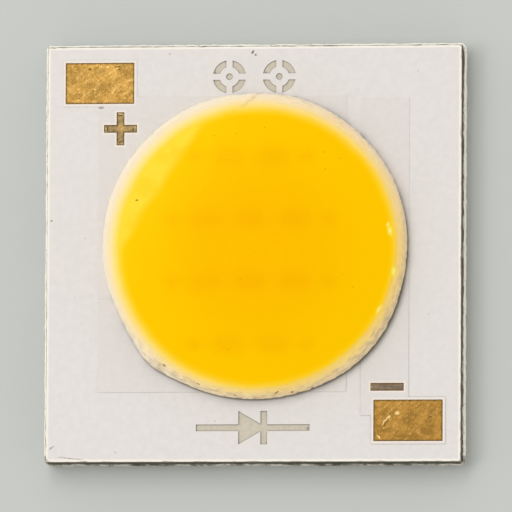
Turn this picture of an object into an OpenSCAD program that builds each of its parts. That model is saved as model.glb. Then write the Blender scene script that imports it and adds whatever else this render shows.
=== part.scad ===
// Chip-on-board LED on a square metal-core board.
// Ten dies in two strings of five lie in rows under one round pool of phosphor silicone.
// The origin is the centre of the board's underside. Light leaves along +Z.
// The anode pad is at the corner -X +Y, and the cathode pad at +X -Y.

/* [Board] */
// Side of the square board, measured over the snapped webs
board_side = 13.5; // [13:0.1:20]
// Thickness of the aluminium base
base_thickness = 1.0; // [0.8:0.1:2]
// Thickness of the insulating layer between base and copper
dielectric_thickness = 0.1; // [0.06:0.01:0.2]
// Full angle of the V-score that parts the boards in their panel
score_angle = 20; // [20:5:45]
// Width of the score's flat foot, cut by the blade's tip. The snap leaves half of it as a ledge
score_tip = 0.08; // [0.04:0.01:0.12]
// Thickness of the web that the two V-scores leave, which is snapped
web_thickness = 0.3; // [0.2:0.05:0.5]
// Corner lost when the webs snap
corner_break = 0.12; // [0.05:0.01:0.3]

/* [Copper] */
// Thickness of the copper
copper_thickness = 0.035; // [0.035:0.005:0.07]
// Bare line between two pieces of copper under the dies
copper_gap = 0.15; // [0.12:0.01:0.16]
// From the board's left edge to the anode plane
plane_inset_left = 1.81; // [1.5:0.01:1.9]
// From the board's top edge to the anode plane
plane_inset_top = 1.76; // [1.5:0.01:1.9]
// From the board's bottom edge to the anode plane
plane_inset_bottom = 2.38; // [2.1:0.01:2.5]
// From the board's right edge to the cathode strip
strip_inset_right = 1.82; // [1.4:0.01:1.9]
// From the board's top edge to the cathode strip
strip_inset_top = 1.84; // [1.4:0.01:2]
// From the board's bottom edge to the cathode strip
strip_inset_bottom = 1.62; // [1.3:0.01:1.8]
// Width of the cathode strip
strip_width = 1.44; // [1.35:0.01:1.6]
// Bare line between the anode side and the cathode strip
split_gap = 0.56; // [0.4:0.01:0.56]
// Width of the cathode finger that runs in under the dies
finger_width = 0.9; // [0.6:0.05:0.9]
// Copper around the centre of each bond point
bond_border = 0.3; // [0.27:0.01:0.32]
// Height of the slot in the anode plane's left edge, from the board's centre
slot_y = -1.49; // [-2:0.01:-1]
// Length of that slot
slot_length = 0.9; // [0.6:0.05:1.2]
// Width of that slot
slot_width = 0.2; // [0.16:0.01:0.3]

/* [Solder mask] */
// Thickness of the white mask where it lies on the insulating layer. It levels out beside the copper
mask_thickness = 0.045; // [0.02:0.005:0.05]
// Thickness of the white mask over copper
mask_cover = 0.025; // [0.02:0.005:0.04]
// Width of the mask's raised border beside copper
mask_wrap = 0.05; // [0.03:0.01:0.055]

/* [Pads and marks] */
// Length of a solder pad
pad_length = 2.21; // [1.8:0.01:2.4]
// Width of a solder pad
pad_width = 1.32; // [1:0.01:1.5]
// From the board's edges to a solder pad
pad_inset = 0.68; // [0.5:0.01:0.8]
// How far up the board the scoring tolerance lets the pads lie
artwork_y = 0.07; // [-0.1:0.01:0.1]
// Copper that runs on under the mask around a solder pad
pad_border = 0.04; // [0.03:0.01:0.2]
// Thickness of the gold finish on bare copper
plating_thickness = 0.015; // [0.01:0.005:0.02]
// Length of the strokes of the plus and minus marks
polarity_length = 1.06; // [0.8:0.01:1.15]
// Width of those strokes
polarity_stroke = 0.25; // [0.2:0.01:0.3]
// From a pad's centre to its mark's centre, towards the board's middle
polarity_shift = 0.67; // [0.6:0.01:0.75]
// From the anode pad's centre down to the plus mark's centre
plus_drop = 1.46; // [1.4:0.01:1.6]
// From the cathode pad's centre up to the minus mark's centre
minus_rise = 1.07; // [0.9:0.01:1.3]
// Stroke of the marks at the board's top and bottom edges
legend_stroke = 0.21; // [0.16:0.01:0.26]
// Height of those marks
legend_height = 1.06; // [1:0.01:1.25]
// From the board's top edge to the centre line of its marks
legend_inset_top = 1.08; // [1:0.01:1.15]
// From the board's bottom edge to the centre line of its mark
legend_inset_bottom = 1.19; // [1:0.01:1.3]
// Distance between the two marks at the top
sight_spacing = 1.6; // [1.4:0.05:2.5]
// Mask left between the arcs of such a mark
sight_gap = 0.2; // [0.12:0.01:0.3]
// Length of the diode symbol at the bottom
symbol_length = 3.64; // [3:0.01:4]

/* [Dam and fill] */
// Centre of the dam to the right of the board's centre
dam_x = 0.03; // [-0.1:0.01:0.1]
// Centre of the dam above the board's centre
dam_y = 0.24; // [0:0.01:0.3]
// Mask between the farthest window of the array and the inside of the dam's foot
dam_clearance = 0.099; // [0.06:0.001:0.25]
// Width of the dam's foot
dam_width = 0.85; // [0.75:0.01:1]
// Height of the dam over the mask
dam_height = 0.55; // [0.45:0.01:0.65]
// How far below the dam's crest the fill's rim lies
fill_drop = 0.01; // [0.01:0.005:0.05]
// Rise of the fill from its rim to its middle
fill_crown = 0.2; // [0.15:0.01:0.4]

/* [Dies] */
// Length of a die, along its row
die_length = 0.89; // [0.7:0.01:0.92]
// Width of a die
die_width = 0.56; // [0.4:0.01:0.56]
// Thickness of a die
die_thickness = 0.15; // [0.1:0.01:0.18]
// Distance between dies along a row
die_pitch = 1.44; // [1.4:0.01:1.5]
// Distance between rows
row_pitch = 2.0; // [1.98:0.01:2.05]
// Centre of the array to the right of the board's centre
array_x = -0.03; // [-0.1:0.01:0.1]
// Centre of the array above the board's centre
array_y = 0.05; // [-0.05:0.01:0.2]
// Bare copper around a die
window_margin = 0.08; // [0.06:0.01:0.08]
// Thickness of the die attach silicone
attach_thickness = 0.02; // [0.01:0.005:0.03]
// Die attach that squeezes out around a die
attach_margin = 0.03; // [0.01:0.01:0.05]
// Diameter of the two electrodes on a die
electrode_diameter = 0.11; // [0.09:0.01:0.14]
// Height of the electrodes
electrode_height = 0.01; // [0.01:0.005:0.02]
// From a die's end to the centre of the electrode there
electrode_inset = 0.13; // [0.1:0.01:0.2]

/* [Bond wires] */
// From a row's last die centre to the bond point past it
bond_reach = 1.05; // [1.03:0.01:1.08]
// Side of the mask's square window over a bond point
bond_window = 0.4; // [0.3:0.01:0.42]
// Diameter of the wire
wire_diameter = 0.03; // [0.02:0.005:0.04]
// Rise of the wire's loop
wire_loop = 0.18; // [0.12:0.01:0.2]
// Diameter of the ball on the first bond
ball_diameter = 0.08; // [0.06:0.01:0.09]
// Height of that ball
ball_height = 0.02; // [0.015:0.005:0.03]
// Length of the stitch on the second bond
stitch_length = 0.1; // [0.08:0.01:0.12]
// Width of the stitch
stitch_width = 0.06; // [0.045:0.005:0.08]
// Thickness of the stitch
stitch_thickness = 0.012; // [0.01:0.001:0.02]

/* [Hidden] */
$fn = 256;
// What a cutting shape reaches past the surface that it opens
over = 0.5;
// Steps along a wire and sides around it
wire_steps = 8;
wire_sides = 8;
// The loop leaves its ball steeply and comes down flat: both exponents are 1 for an even arch
loop_lean = 0.6;
step_crowding = 1.6;

// Levels, from the underside up
dielectric_base = base_thickness;
copper_base = dielectric_base + dielectric_thickness;
copper_top = copper_base + copper_thickness;
mask_top = copper_top + mask_cover;
mask_low_top = copper_base + mask_thickness;
plating_top = copper_top + plating_thickness;
attach_top = plating_top + attach_thickness;
die_top = attach_top + die_thickness;
electrode_top = die_top + electrode_height;

// Board outline
edge = board_side / 2;
score_depth = (mask_top - web_thickness) / 2;
tip_edge = edge - score_tip / 2;
face_edge = tip_edge - score_depth * tan(score_angle / 2);

// Die array: dies in each row, top row first, and the rows' heights
row_dies = [2, 3, 3, 2];
rows = len(row_dies);
function row_y(row) = array_y + ((rows - 1) / 2 - row) * row_pitch;
function die_x(row, k) = array_x + (k - (row_dies[row] - 1) / 2) * die_pitch;
function bond_x(row, side) = array_x + side * ((row_dies[row] - 1) / 2 * die_pitch + bond_reach);
die_sites = [for (row = [0:rows - 1]) for (k = [0:row_dies[row] - 1]) [die_x(row, k), row_y(row)]];
bond_sites = [for (row = [0:rows - 1]) for (side = [-1, 1]) [bond_x(row, side), row_y(row)]];

// One span of wire is [x of its ball, x of its stitch, y, level of the stitch].
// Every ball is on a die. A row's outer stitches are on the board and its inner ones on the next die.
electrode_reach = die_length / 2 - electrode_inset;
function row_spans(row) = concat(
    [[die_x(row, 0) - electrode_reach, bond_x(row, -1), row_y(row), plating_top]],
    [for (k = [0:row_dies[row] - 2])
        [die_x(row, k) + electrode_reach, die_x(row, k + 1) - electrode_reach, row_y(row), electrode_top]],
    [[die_x(row, row_dies[row] - 1) + electrode_reach, bond_x(row, 1), row_y(row), plating_top]]
);
wire_spans = [for (row = [0:rows - 1]) each row_spans(row)];

// Copper outlines
plane_left = -edge + plane_inset_left;
plane_top = edge - plane_inset_top;
plane_bottom = -edge + plane_inset_bottom;
strip_right = edge - strip_inset_right;
strip_left = strip_right - strip_width;
strip_top = edge - strip_inset_top;
strip_bottom = -edge + strip_inset_bottom;
plane_right = strip_left - split_gap;
finger_half = finger_width / 2;
finger_left = bond_x(1, -1) - bond_border;

// Solder pads and polarity marks
pad_x = edge - pad_inset - pad_length / 2;
pad_y = edge - pad_inset - pad_width / 2;
anode_pad_centre = [-pad_x, pad_y + artwork_y];
cathode_pad_centre = [pad_x, -pad_y + artwork_y];
plus_centre = anode_pad_centre + [polarity_shift, -plus_drop];
minus_centre = cathode_pad_centre + [-polarity_shift, minus_rise];

// The dam is laid round every window of the array: the reach is to the farthest corner
function corner_reach(site, width, height) =
    norm([abs(site[0] - dam_x) + width / 2, abs(site[1] - dam_y) + height / 2]);
window_length = die_length + 2 * window_margin;
window_width = die_width + 2 * window_margin;
array_reach = max(concat(
    [for (site = die_sites) corner_reach(site, window_length, window_width)],
    [for (site = bond_sites) corner_reach(site, bond_window, bond_window)]
));

// Dam's section: the circle through both sides of its foot and its crest
crest_radius = array_reach + dam_clearance + dam_width / 2;
bead_radius = (dam_width * dam_width / 4 + dam_height * dam_height) / (2 * dam_height);
bead_height = mask_top + dam_height - bead_radius;
fill_rim = mask_top + dam_height - fill_drop;
crown_radius = (crest_radius * crest_radius + fill_crown * fill_crown) / (2 * fill_crown);

// A rectangle between two corners, grown on every side
module area(left, bottom, right, top, grow = 0) {
    translate([left - grow, bottom - grow])
        square([right - left + 2 * grow, top - bottom + 2 * grow]);
}

// A flat layer of the outline given, from one level to another
module layer(bottom, top) {
    translate([0, 0, bottom])
        linear_extrude(top - bottom)
            children();
}

// The section that the V-scores above and below give the board, with the snapped web between them
module scored_section() {
    polygon([
        [-face_edge, 0], [face_edge, 0], [tip_edge, score_depth], [tip_edge, score_depth + web_thickness],
        [face_edge, mask_top], [-face_edge, mask_top], [-tip_edge, score_depth + web_thickness],
        [-tip_edge, score_depth]
    ]);
    translate([-edge, score_depth])
        square([board_side, web_thickness]);
}

// The board's whole block, scored both ways and with its corners broken
module scored_blank() {
    intersection() {
        rotate([90, 0, 0])
            linear_extrude(board_side + over, center = true)
                scored_section();
        rotate([90, 0, 90])
            linear_extrude(board_side + over, center = true)
                scored_section();
        layer(0, mask_top)
            rotate(45)
                square((board_side - corner_break) * sqrt(2), center = true);
    }
}

// What the blank holds between two levels
module blank_slice(bottom, top) {
    intersection() {
        scored_blank();
        layer(bottom, top)
            square(board_side + over, center = true);
    }
}

// A solder pad, or with grow the copper under and beside it
module pad_outline(centre, grow = 0) {
    translate(centre)
        square([pad_length + 2 * grow, pad_width + 2 * grow], center = true);
}

// The cathode finger, with the head that carries the bond points of the two middle rows
module finger_outline(grow = 0) {
    area(finger_left, array_y - finger_half, strip_left + copper_gap, array_y + finger_half, grow);
    area(finger_left, row_y(2) - bond_border, bond_x(1, -1) + bond_border, row_y(1) + bond_border, grow);
}

// The series copper of the upper string, which joins the right ends of its two rows
module upper_series_outline(grow = 0) {
    step_y = (row_y(0) + row_y(1)) / 2;
    area(bond_x(0, 1) - bond_border, step_y, plane_right, plane_top, grow);
    area(bond_x(1, 1) - bond_border, array_y + finger_half + copper_gap, plane_right, plane_top, grow);
}

// The same for the lower string
module lower_series_outline(grow = 0) {
    step_y = (row_y(2) + row_y(3)) / 2;
    area(bond_x(3, 1) - bond_border, plane_bottom, plane_right, step_y, grow);
    area(bond_x(2, 1) - bond_border, plane_bottom, plane_right, array_y - finger_half - copper_gap,
        grow);
}

// The anode plane and its pad, cleared round the other pieces of copper
module anode_outline(grow = 0) {
    difference() {
        area(plane_left, plane_bottom, plane_right, plane_top, grow);
        finger_outline(copper_gap - grow);
        upper_series_outline(copper_gap - grow);
        lower_series_outline(copper_gap - grow);
        area(plane_left - over, slot_y - slot_width / 2, plane_left + slot_length,
            slot_y + slot_width / 2, -grow);
    }
    pad_outline(anode_pad_centre, pad_border + grow);
    area(plane_left, plane_top - pad_border, anode_pad_centre[0] + pad_length / 2, anode_pad_centre[1],
        grow);
}

// The cathode strip, its pad and the finger
module cathode_outline(grow = 0) {
    area(strip_left, strip_bottom, strip_right, strip_top, grow);
    pad_outline(cathode_pad_centre, pad_border + grow);
    finger_outline(grow);
}

// All the copper
module copper_outline(grow = 0) {
    anode_outline(grow);
    cathode_outline(grow);
    upper_series_outline(grow);
    lower_series_outline(grow);
}

module plus_outline() {
    translate(plus_centre) {
        square([polarity_length, polarity_stroke], center = true);
        square([polarity_stroke, polarity_length], center = true);
    }
}

module minus_outline() {
    translate(minus_centre)
        square([polarity_length, polarity_stroke], center = true);
}

module die_windows() {
    for (site = die_sites)
        translate(site)
            square([window_length, window_width], center = true);
}

module bond_windows() {
    for (site = bond_sites)
        translate(site)
            square(bond_window, center = true);
}

// A sighting mark: four arcs around a dot
module sight_outline() {
    difference() {
        circle(d = legend_height);
        circle(d = legend_height - 2 * legend_stroke);
        square([legend_height + over, sight_gap], center = true);
        square([sight_gap, legend_height + over], center = true);
    }
    circle(d = legend_stroke);
}

// A diode symbol: the anode lead at the left, the triangle, the cathode bar and its lead
module diode_outline() {
    lead_end = symbol_length / 2;
    triangle = legend_height * sqrt(3) / 2;
    square([symbol_length, legend_stroke], center = true);
    polygon([[-triangle / 2, -legend_height / 2], [-triangle / 2, legend_height / 2], [triangle / 2, 0]]);
    translate([triangle / 2 - legend_stroke / 2, 0])
        square([legend_stroke, legend_height], center = true);
}

// The marks that show the insulating layer through the mask
module legend_outline() {
    for (side = [-1, 1])
        translate([side * sight_spacing / 2, edge - legend_inset_top])
            sight_outline();
    translate([0, -edge + legend_inset_bottom])
        diode_outline();
}

// Every opening in the mask that bares copper
module finish_outline() {
    pad_outline(anode_pad_centre);
    pad_outline(cathode_pad_centre);
    plus_outline();
    minus_outline();
    die_windows();
    bond_windows();
}

// Gold finish on the copper in a window of the mask
module gold_finish() {
    color("goldenrod")
        layer(copper_top, plating_top)
            children();
}

module copper_piece() {
    color("peru")
        layer(copper_base, copper_top)
            children();
}

module aluminium_base() {
    color("silver")
        blank_slice(0, dielectric_base);
}

module dielectric_layer() {
    color("tan")
        blank_slice(dielectric_base, copper_base);
}

// The white mask follows the copper, so the copper's outline shows as a low step
module solder_mask() {
    color("white")
        difference() {
            intersection() {
                scored_blank();
                union() {
                    layer(copper_base, mask_low_top)
                        square(board_side + over, center = true);
                    layer(copper_base, mask_top)
                        copper_outline(mask_wrap);
                }
            }
            layer(copper_base - over, copper_top)
                copper_outline();
            layer(copper_base - over, mask_top + over)
                finish_outline();
            layer(copper_base - over, mask_top + over)
                legend_outline();
        }
}

// The dam's bead as a full torus, before its foot is cut to the mask
module bead() {
    translate([dam_x, dam_y, 0])
        rotate_extrude()
            translate([crest_radius, bead_height])
                circle(bead_radius);
}

module silicone_dam() {
    color("bisque")
        difference() {
            bead();
            layer(bead_height - bead_radius - over, mask_low_top)
                square(2 * board_side, center = true);
            layer(mask_low_top - over, mask_top)
                copper_outline(mask_wrap);
        }
}

// The phosphor silicone as a drum with a domed top, before what it surrounds is cut from it
module fill_blank() {
    translate([dam_x, dam_y, 0])
        rotate_extrude()
            intersection() {
                translate([0, copper_base])
                    square([crest_radius, fill_rim + fill_crown - copper_base]);
                translate([0, fill_rim + fill_crown - crown_radius])
                    circle(crown_radius);
            }
}

module phosphor_fill() {
    color("gold")
        difference() {
            fill_blank();
            bead();
            solder_mask();
            layer(copper_base - over, copper_top)
                copper_outline();
            layer(copper_base, plating_top)
                finish_outline();
            die_attach();
            for (i = [0:len(die_sites) - 1])
                led_die(i);
            for (i = [0:len(wire_spans) - 1])
                bond_wire(i);
        }
}

// One spot of silicone under each die
module die_attach() {
    color("ivory")
        layer(plating_top, attach_top)
            for (site = die_sites)
                translate(site)
                    square([die_length + 2 * attach_margin, die_width + 2 * attach_margin], center = true);
}

// A die with an electrode at each end of its upper face
module led_die(i) {
    color("lightsteelblue")
        translate(die_sites[i]) {
            layer(attach_top, die_top)
                square([die_length, die_width], center = true);
            for (side = [-1, 1])
                translate([side * electrode_reach, 0])
                    layer(die_top, electrode_top)
                        circle(d = electrode_diameter);
        }
}

function wire_share(step) = pow(step / wire_steps, step_crowding);
function wire_point(span, step) =
    let (
        share = wire_share(step),
        start = electrode_top + ball_height / 2,
        end = span[3] + wire_diameter / 2
    )
    [span[0] + (span[1] - span[0]) * share,
        start + (end - start) * share + wire_loop * sin(180 * pow(share, loop_lean))];
function wire_direction(span, step) =
    let (
        run = wire_point(span, min(step + 1, wire_steps)) - wire_point(span, max(step - 1, 0))
    )
    run / norm(run);
function wire_ring(span, step) =
    let (
        centre = wire_point(span, step),
        along = wire_direction(span, step),
        r = wire_diameter / 2
    )
    [for (side = [0:wire_sides - 1])
        let (out = r * cos(360 * side / wire_sides), across = r * sin(360 * side / wire_sides))
        [centre[0] - along[1] * out, span[2] + across, centre[1] + along[0] * out]];

// A wire: its ball on a die, its loop, and its stitch on the next die or on the board
module bond_wire(i) {
    span = wire_spans[i];
    color("khaki") {
        translate([span[0], span[2], electrode_top])
            cylinder(d = ball_diameter, h = ball_height);
        polyhedron(
            points = [for (step = [0:wire_steps]) each wire_ring(span, step)],
            faces = concat(
                [[for (side = [wire_sides - 1:-1:0]) side]],
                [for (step = [0:wire_steps - 1]) for (side = [0:wire_sides - 1])
                    let (next = (side + 1) % wire_sides, base = step * wire_sides)
                    [base + side, base + next, base + wire_sides + next, base + wire_sides + side]],
                [[for (side = [0:wire_sides - 1]) wire_steps * wire_sides + side]]
            )
        );
        translate([span[1] - stitch_length / 2, span[2] - stitch_width / 2, span[3]])
            cube([stitch_length, stitch_width, stitch_thickness]);
    }
}

aluminium_base();
dielectric_layer();
copper_piece() anode_outline();  // anode_copper
copper_piece() cathode_outline();  // cathode_copper
copper_piece() upper_series_outline();  // upper_series_copper
copper_piece() lower_series_outline();  // lower_series_copper
solder_mask();
gold_finish() pad_outline(anode_pad_centre);  // anode_pad
gold_finish() pad_outline(cathode_pad_centre);  // cathode_pad
gold_finish() plus_outline();  // plus_mark
gold_finish() minus_outline();  // minus_mark
gold_finish() die_windows();  // die_pads
gold_finish() bond_windows();  // bond_pads
die_attach();
silicone_dam();
phosphor_fill();
for (i = [0:len(die_sites) - 1])
    led_die(i);
for (i = [0:len(wire_spans) - 1])
    bond_wire(i);
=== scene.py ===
# A chip-on-board LED on a scored aluminium board: the finish of its white solder mask, gold pads,
# silicone dam and phosphor. Lengths are in metres, and MM turns a length in millimetres into metres.
import math
import random

import bmesh
import bpy
import numpy as np
from mathutils import Matrix, Vector, noise


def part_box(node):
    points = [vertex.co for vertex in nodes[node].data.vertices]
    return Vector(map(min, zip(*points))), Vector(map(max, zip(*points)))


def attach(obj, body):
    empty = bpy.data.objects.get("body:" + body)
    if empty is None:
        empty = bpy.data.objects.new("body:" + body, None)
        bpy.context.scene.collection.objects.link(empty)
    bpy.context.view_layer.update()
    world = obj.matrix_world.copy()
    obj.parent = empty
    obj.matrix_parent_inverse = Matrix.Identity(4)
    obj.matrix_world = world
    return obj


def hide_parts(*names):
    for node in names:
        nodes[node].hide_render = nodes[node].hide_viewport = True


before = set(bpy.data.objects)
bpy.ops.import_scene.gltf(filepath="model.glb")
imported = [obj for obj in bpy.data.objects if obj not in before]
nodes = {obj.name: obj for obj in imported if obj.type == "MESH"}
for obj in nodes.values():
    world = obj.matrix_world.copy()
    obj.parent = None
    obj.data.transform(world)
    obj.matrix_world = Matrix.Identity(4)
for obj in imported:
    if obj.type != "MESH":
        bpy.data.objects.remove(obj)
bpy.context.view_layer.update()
random.seed(11)
MM = 0.001

# ---- Places taken from the frame ----
base_low, base_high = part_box("aluminium_base")
mask_low, mask_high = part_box("solder_mask")
dam_low, dam_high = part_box("silicone_dam")
fill_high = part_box("phosphor_fill")[1]
EDGE = base_high.x
FACE_Z = mask_high.z
# The V-score above and below the snapped web
WEB = 0.3 * MM
SCORE_SLOPE = math.tan(math.radians(10))
SCORE_DEPTH = (FACE_Z - WEB) / 2
LEDGE = 0.04 * MM
FACE_EDGE = EDGE - LEDGE - SCORE_DEPTH * SCORE_SLOPE
CORNER = 0.12 * MM
# The dam's bead: the circle through both sides of its foot and its crest
DAM_WIDTH = 0.85 * MM
DAM_HEIGHT = dam_high.z - FACE_Z
BEAD = (DAM_WIDTH ** 2 / 4 + DAM_HEIGHT ** 2) / (2 * DAM_HEIGHT)
BEAD_Z = dam_high.z - BEAD
DAM_X, DAM_Y = ((dam_low + dam_high) / 2).xy
CREST = (dam_high.x - dam_low.x) / 2 - BEAD
# The pool's skin runs on to the bead just past the crest, where both slope alike
POOL_TOP = fill_high.z
POOL_RIM = CREST + 0.111 * MM
RIM_Z = dam_high.z - 0.002 * MM
CROWN = POOL_TOP - RIM_Z
# The yellow itself has settled a little to the right of the dam's middle
YELLOW = 4.42 * MM
YELLOW_X = DAM_X + 0.146 * MM
YELLOW_Y = DAM_Y - 0.11 * MM
SEAM_ANGLE = math.radians(92)
# Ways across the board, in plan
UPPER_LEFT = (-0.839, 0.545)
LOWER_RIGHT = (0.5, -0.87)


# ---- Camera ----
def aim(thing, place, direction):
    """Puts a camera or lamp at a place, looking back along a direction, with +Y upwards"""
    z = Vector(direction).normalized()
    x = Vector((0, 1, 0)).cross(z).normalized()
    y = z.cross(x)
    thing.matrix_world = Matrix.Translation(place) @ Matrix((x, y, z)).transposed().to_4x4()


VIEW = Vector((0.114, -0.085, 1)).normalized()
VIEW_DISTANCE = 300 * MM
camera_data = bpy.data.cameras.new("camera")
camera_data.lens = 662
camera_data.sensor_width = 36
camera_data.clip_start = 0.01
camera_data.clip_end = 5
camera = bpy.data.objects.new("camera", camera_data)
bpy.context.scene.collection.objects.link(camera)
aim(camera, Vector((0.082 * MM, -0.08 * MM, FACE_Z)) + VIEW * VIEW_DISTANCE, VIEW)
# Rolled by half of the slant that the oblique view gives the board
camera.matrix_world @= Matrix.Rotation(math.radians(0.275), 4, "Z")
bpy.context.scene.camera = camera


# ---- Light: one large softbox at the upper left, in a room that is dimmer overhead ----
def softbox(name, azimuth, tilt, distance, width, depth, strength):
    """A rectangular lamp. Azimuth and tilt give its direction, and strength is its radiance"""
    lamp = bpy.data.lights.new(name, "AREA")
    lamp.shape = "RECTANGLE"
    lamp.size = width
    lamp.size_y = depth
    lamp.energy = strength * math.pi * width * depth
    thing = bpy.data.objects.new(name, lamp)
    bpy.context.scene.collection.objects.link(thing)
    out = Vector((math.cos(azimuth) * math.sin(tilt), math.sin(azimuth) * math.sin(tilt), math.cos(tilt)))
    across = Vector((-math.sin(azimuth), math.cos(azimuth), 0))
    away = out.cross(across)
    turned = Matrix((across, away, out)).transposed().to_4x4()
    thing.matrix_world = Matrix.Translation(out * distance) @ turned


softbox("key_softbox", math.radians(147), math.radians(24.5), 0.48, 0.6, 0.15, 4.1)

world = bpy.data.worlds.new("room")
bpy.context.scene.world = world
world.use_nodes = True
bpy.context.scene.view_settings.view_transform = "Standard"


# ---- Materials ----
FACTOR, COLOUR_A, COLOUR_B, MIXED = 0, 6, 7, 2


def linear(code):
    """An sRGB hex value as a linear colour"""
    parts = [int(code[i:i + 2], 16) / 255 for i in (0, 2, 4)]
    return tuple(p / 12.92 if p <= 0.04045 else ((p + 0.055) / 1.055) ** 2.4 for p in parts) + (1.0,)


def per(period):
    """The scale of a pattern that repeats every so many millimetres"""
    return 1 / (period * MM)


def add(tree, kind, values=None, links=None, **settings):
    """Adds a node, with its settings, the values on its sockets and the links into them"""
    new = tree.nodes.new(kind)
    for name, value in settings.items():
        setattr(new, name, value)
    for socket, value in (values or {}).items():
        new.inputs[socket].default_value = value
    for socket, source in (links or {}).items():
        tree.links.new(source, new.inputs[socket])
    return new


def start_material(name, values):
    """A material with its shader and the object's coordinates"""
    material = bpy.data.materials.new(name)
    material.use_nodes = True
    tree = material.node_tree
    shader = tree.nodes["Principled BSDF"]
    for socket, value in values.items():
        shader.inputs[socket].default_value = value
    place = add(tree, "ShaderNodeTexCoord").outputs["Object"]
    return material, tree, shader, place


def blend_colour(tree, factor, first, second):
    """Mixes two colours, each a hex value or a socket"""
    mix = add(tree, "ShaderNodeMix", links={FACTOR: factor}, data_type="RGBA")
    for socket, colour in ((COLOUR_A, first), (COLOUR_B, second)):
        if isinstance(colour, str):
            mix.inputs[socket].default_value = linear(colour)
        else:
            tree.links.new(colour, mix.inputs[socket])
    return mix.outputs[MIXED]


def band(tree, source, low, high, to_low=0.0, to_high=1.0):
    """Runs a value smoothly from one level to another between two limits"""
    values = {"From Min": low, "From Max": high, "To Min": to_low, "To Max": to_high}
    ramp = add(tree, "ShaderNodeMapRange", values, {"Value": source}, interpolation_type="SMOOTHSTEP")
    return ramp.outputs["Result"]


def cloud(tree, place, period, detail=3.0, roughness=0.5):
    """Soft noise with a period in millimetres"""
    values = {"Scale": per(period), "Detail": detail, "Roughness": roughness}
    return add(tree, "ShaderNodeTexNoise", values, {"Vector": place})


def warp(tree, place, period, reach):
    """Coordinates that wander by so many millimetres, for ragged outlines"""
    wander = cloud(tree, place, period, 2.0).outputs["Color"]
    centred = add(tree, "ShaderNodeVectorMath", {1: (0.5, 0.5, 0.5)}, {0: wander}, operation="SUBTRACT")
    sized = add(tree, "ShaderNodeVectorMath", {"Scale": 2 * reach * MM}, {0: centred.outputs[0]},
                operation="SCALE")
    moved = add(tree, "ShaderNodeVectorMath", links={0: place, 1: sized.outputs[0]}, operation="ADD")
    return moved.outputs[0]


def calculate(tree, operation, first, second=None):
    """One sum on sockets or numbers"""
    node = add(tree, "ShaderNodeMath", operation=operation)
    for socket, value in ((0, first), (1, second)):
        if isinstance(value, (int, float)):
            node.inputs[socket].default_value = value
        elif value is not None:
            tree.links.new(value, node.inputs[socket])
    return node.outputs[0]


FLAT = 1000.0


def from_centre(tree, place, x, y, length=1.0, width=1.0, turn=0.0):
    """Distance from a point in plan, or inside an ellipse as a share of its size"""
    values = {"Location": (x, y, 0), "Rotation": (0, 0, math.radians(turn)), "Scale": (length, width, FLAT)}
    local = add(tree, "ShaderNodeMapping", values, {"Vector": place}, vector_type="TEXTURE")
    share = add(tree, "ShaderNodeVectorMath", links={0: local.outputs[0]}, operation="LENGTH")
    return share.outputs["Value"]


def flecks(tree, place, marks):
    """1 inside each mark. A mark is its x, y, length and width in millimetres, and its turn in degrees"""
    total = None
    for x, y, length, width, turn in marks:
        share = from_centre(tree, place, x * MM, y * MM, length * MM / 2, width * MM / 2, turn)
        spot = band(tree, share, 1.15, 0.7)
        total = spot if total is None else calculate(tree, "MAXIMUM", total, spot)
    return total


def scattered_specks(tree, place, spacing, radius, share):
    """Specks of a radius, about one in each square of the spacing, of which a share is kept"""
    values = {"Scale": per(spacing)}
    flat = add(tree, "ShaderNodeMapping", {"Scale": (1, 1, 0)}, {"Vector": place})
    cells = add(tree, "ShaderNodeTexVoronoi", values, {"Vector": flat.outputs[0]}, feature="F1")
    near = band(tree, cells.outputs["Distance"], radius / spacing, 0.5 * radius / spacing)
    pick = add(tree, "ShaderNodeSeparateColor", links={0: cells.outputs["Color"]})
    return calculate(tree, "MULTIPLY", near, calculate(tree, "LESS_THAN", pick.outputs[0], share))


def rough_surface(tree, shader, height, depth, strength=1.0):
    """Bumps the surface by a height from 0 to 1 that stands for a depth in millimetres"""
    values = {"Distance": depth * MM, "Strength": strength}
    bump = add(tree, "ShaderNodeBump", values, {"Height": height})
    tree.links.new(bump.outputs[0], shader.inputs["Normal"])


def from_edge(tree, place):
    """How far out a point lies from the board's centre lines: the board's half side at its edges"""
    folded = add(tree, "ShaderNodeVectorMath", links={0: place}, operation="ABSOLUTE").outputs[0]
    parts = add(tree, "ShaderNodeSeparateXYZ", links={0: folded})
    return calculate(tree, "MAXIMUM", parts.outputs[0], parts.outputs[1])


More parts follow.
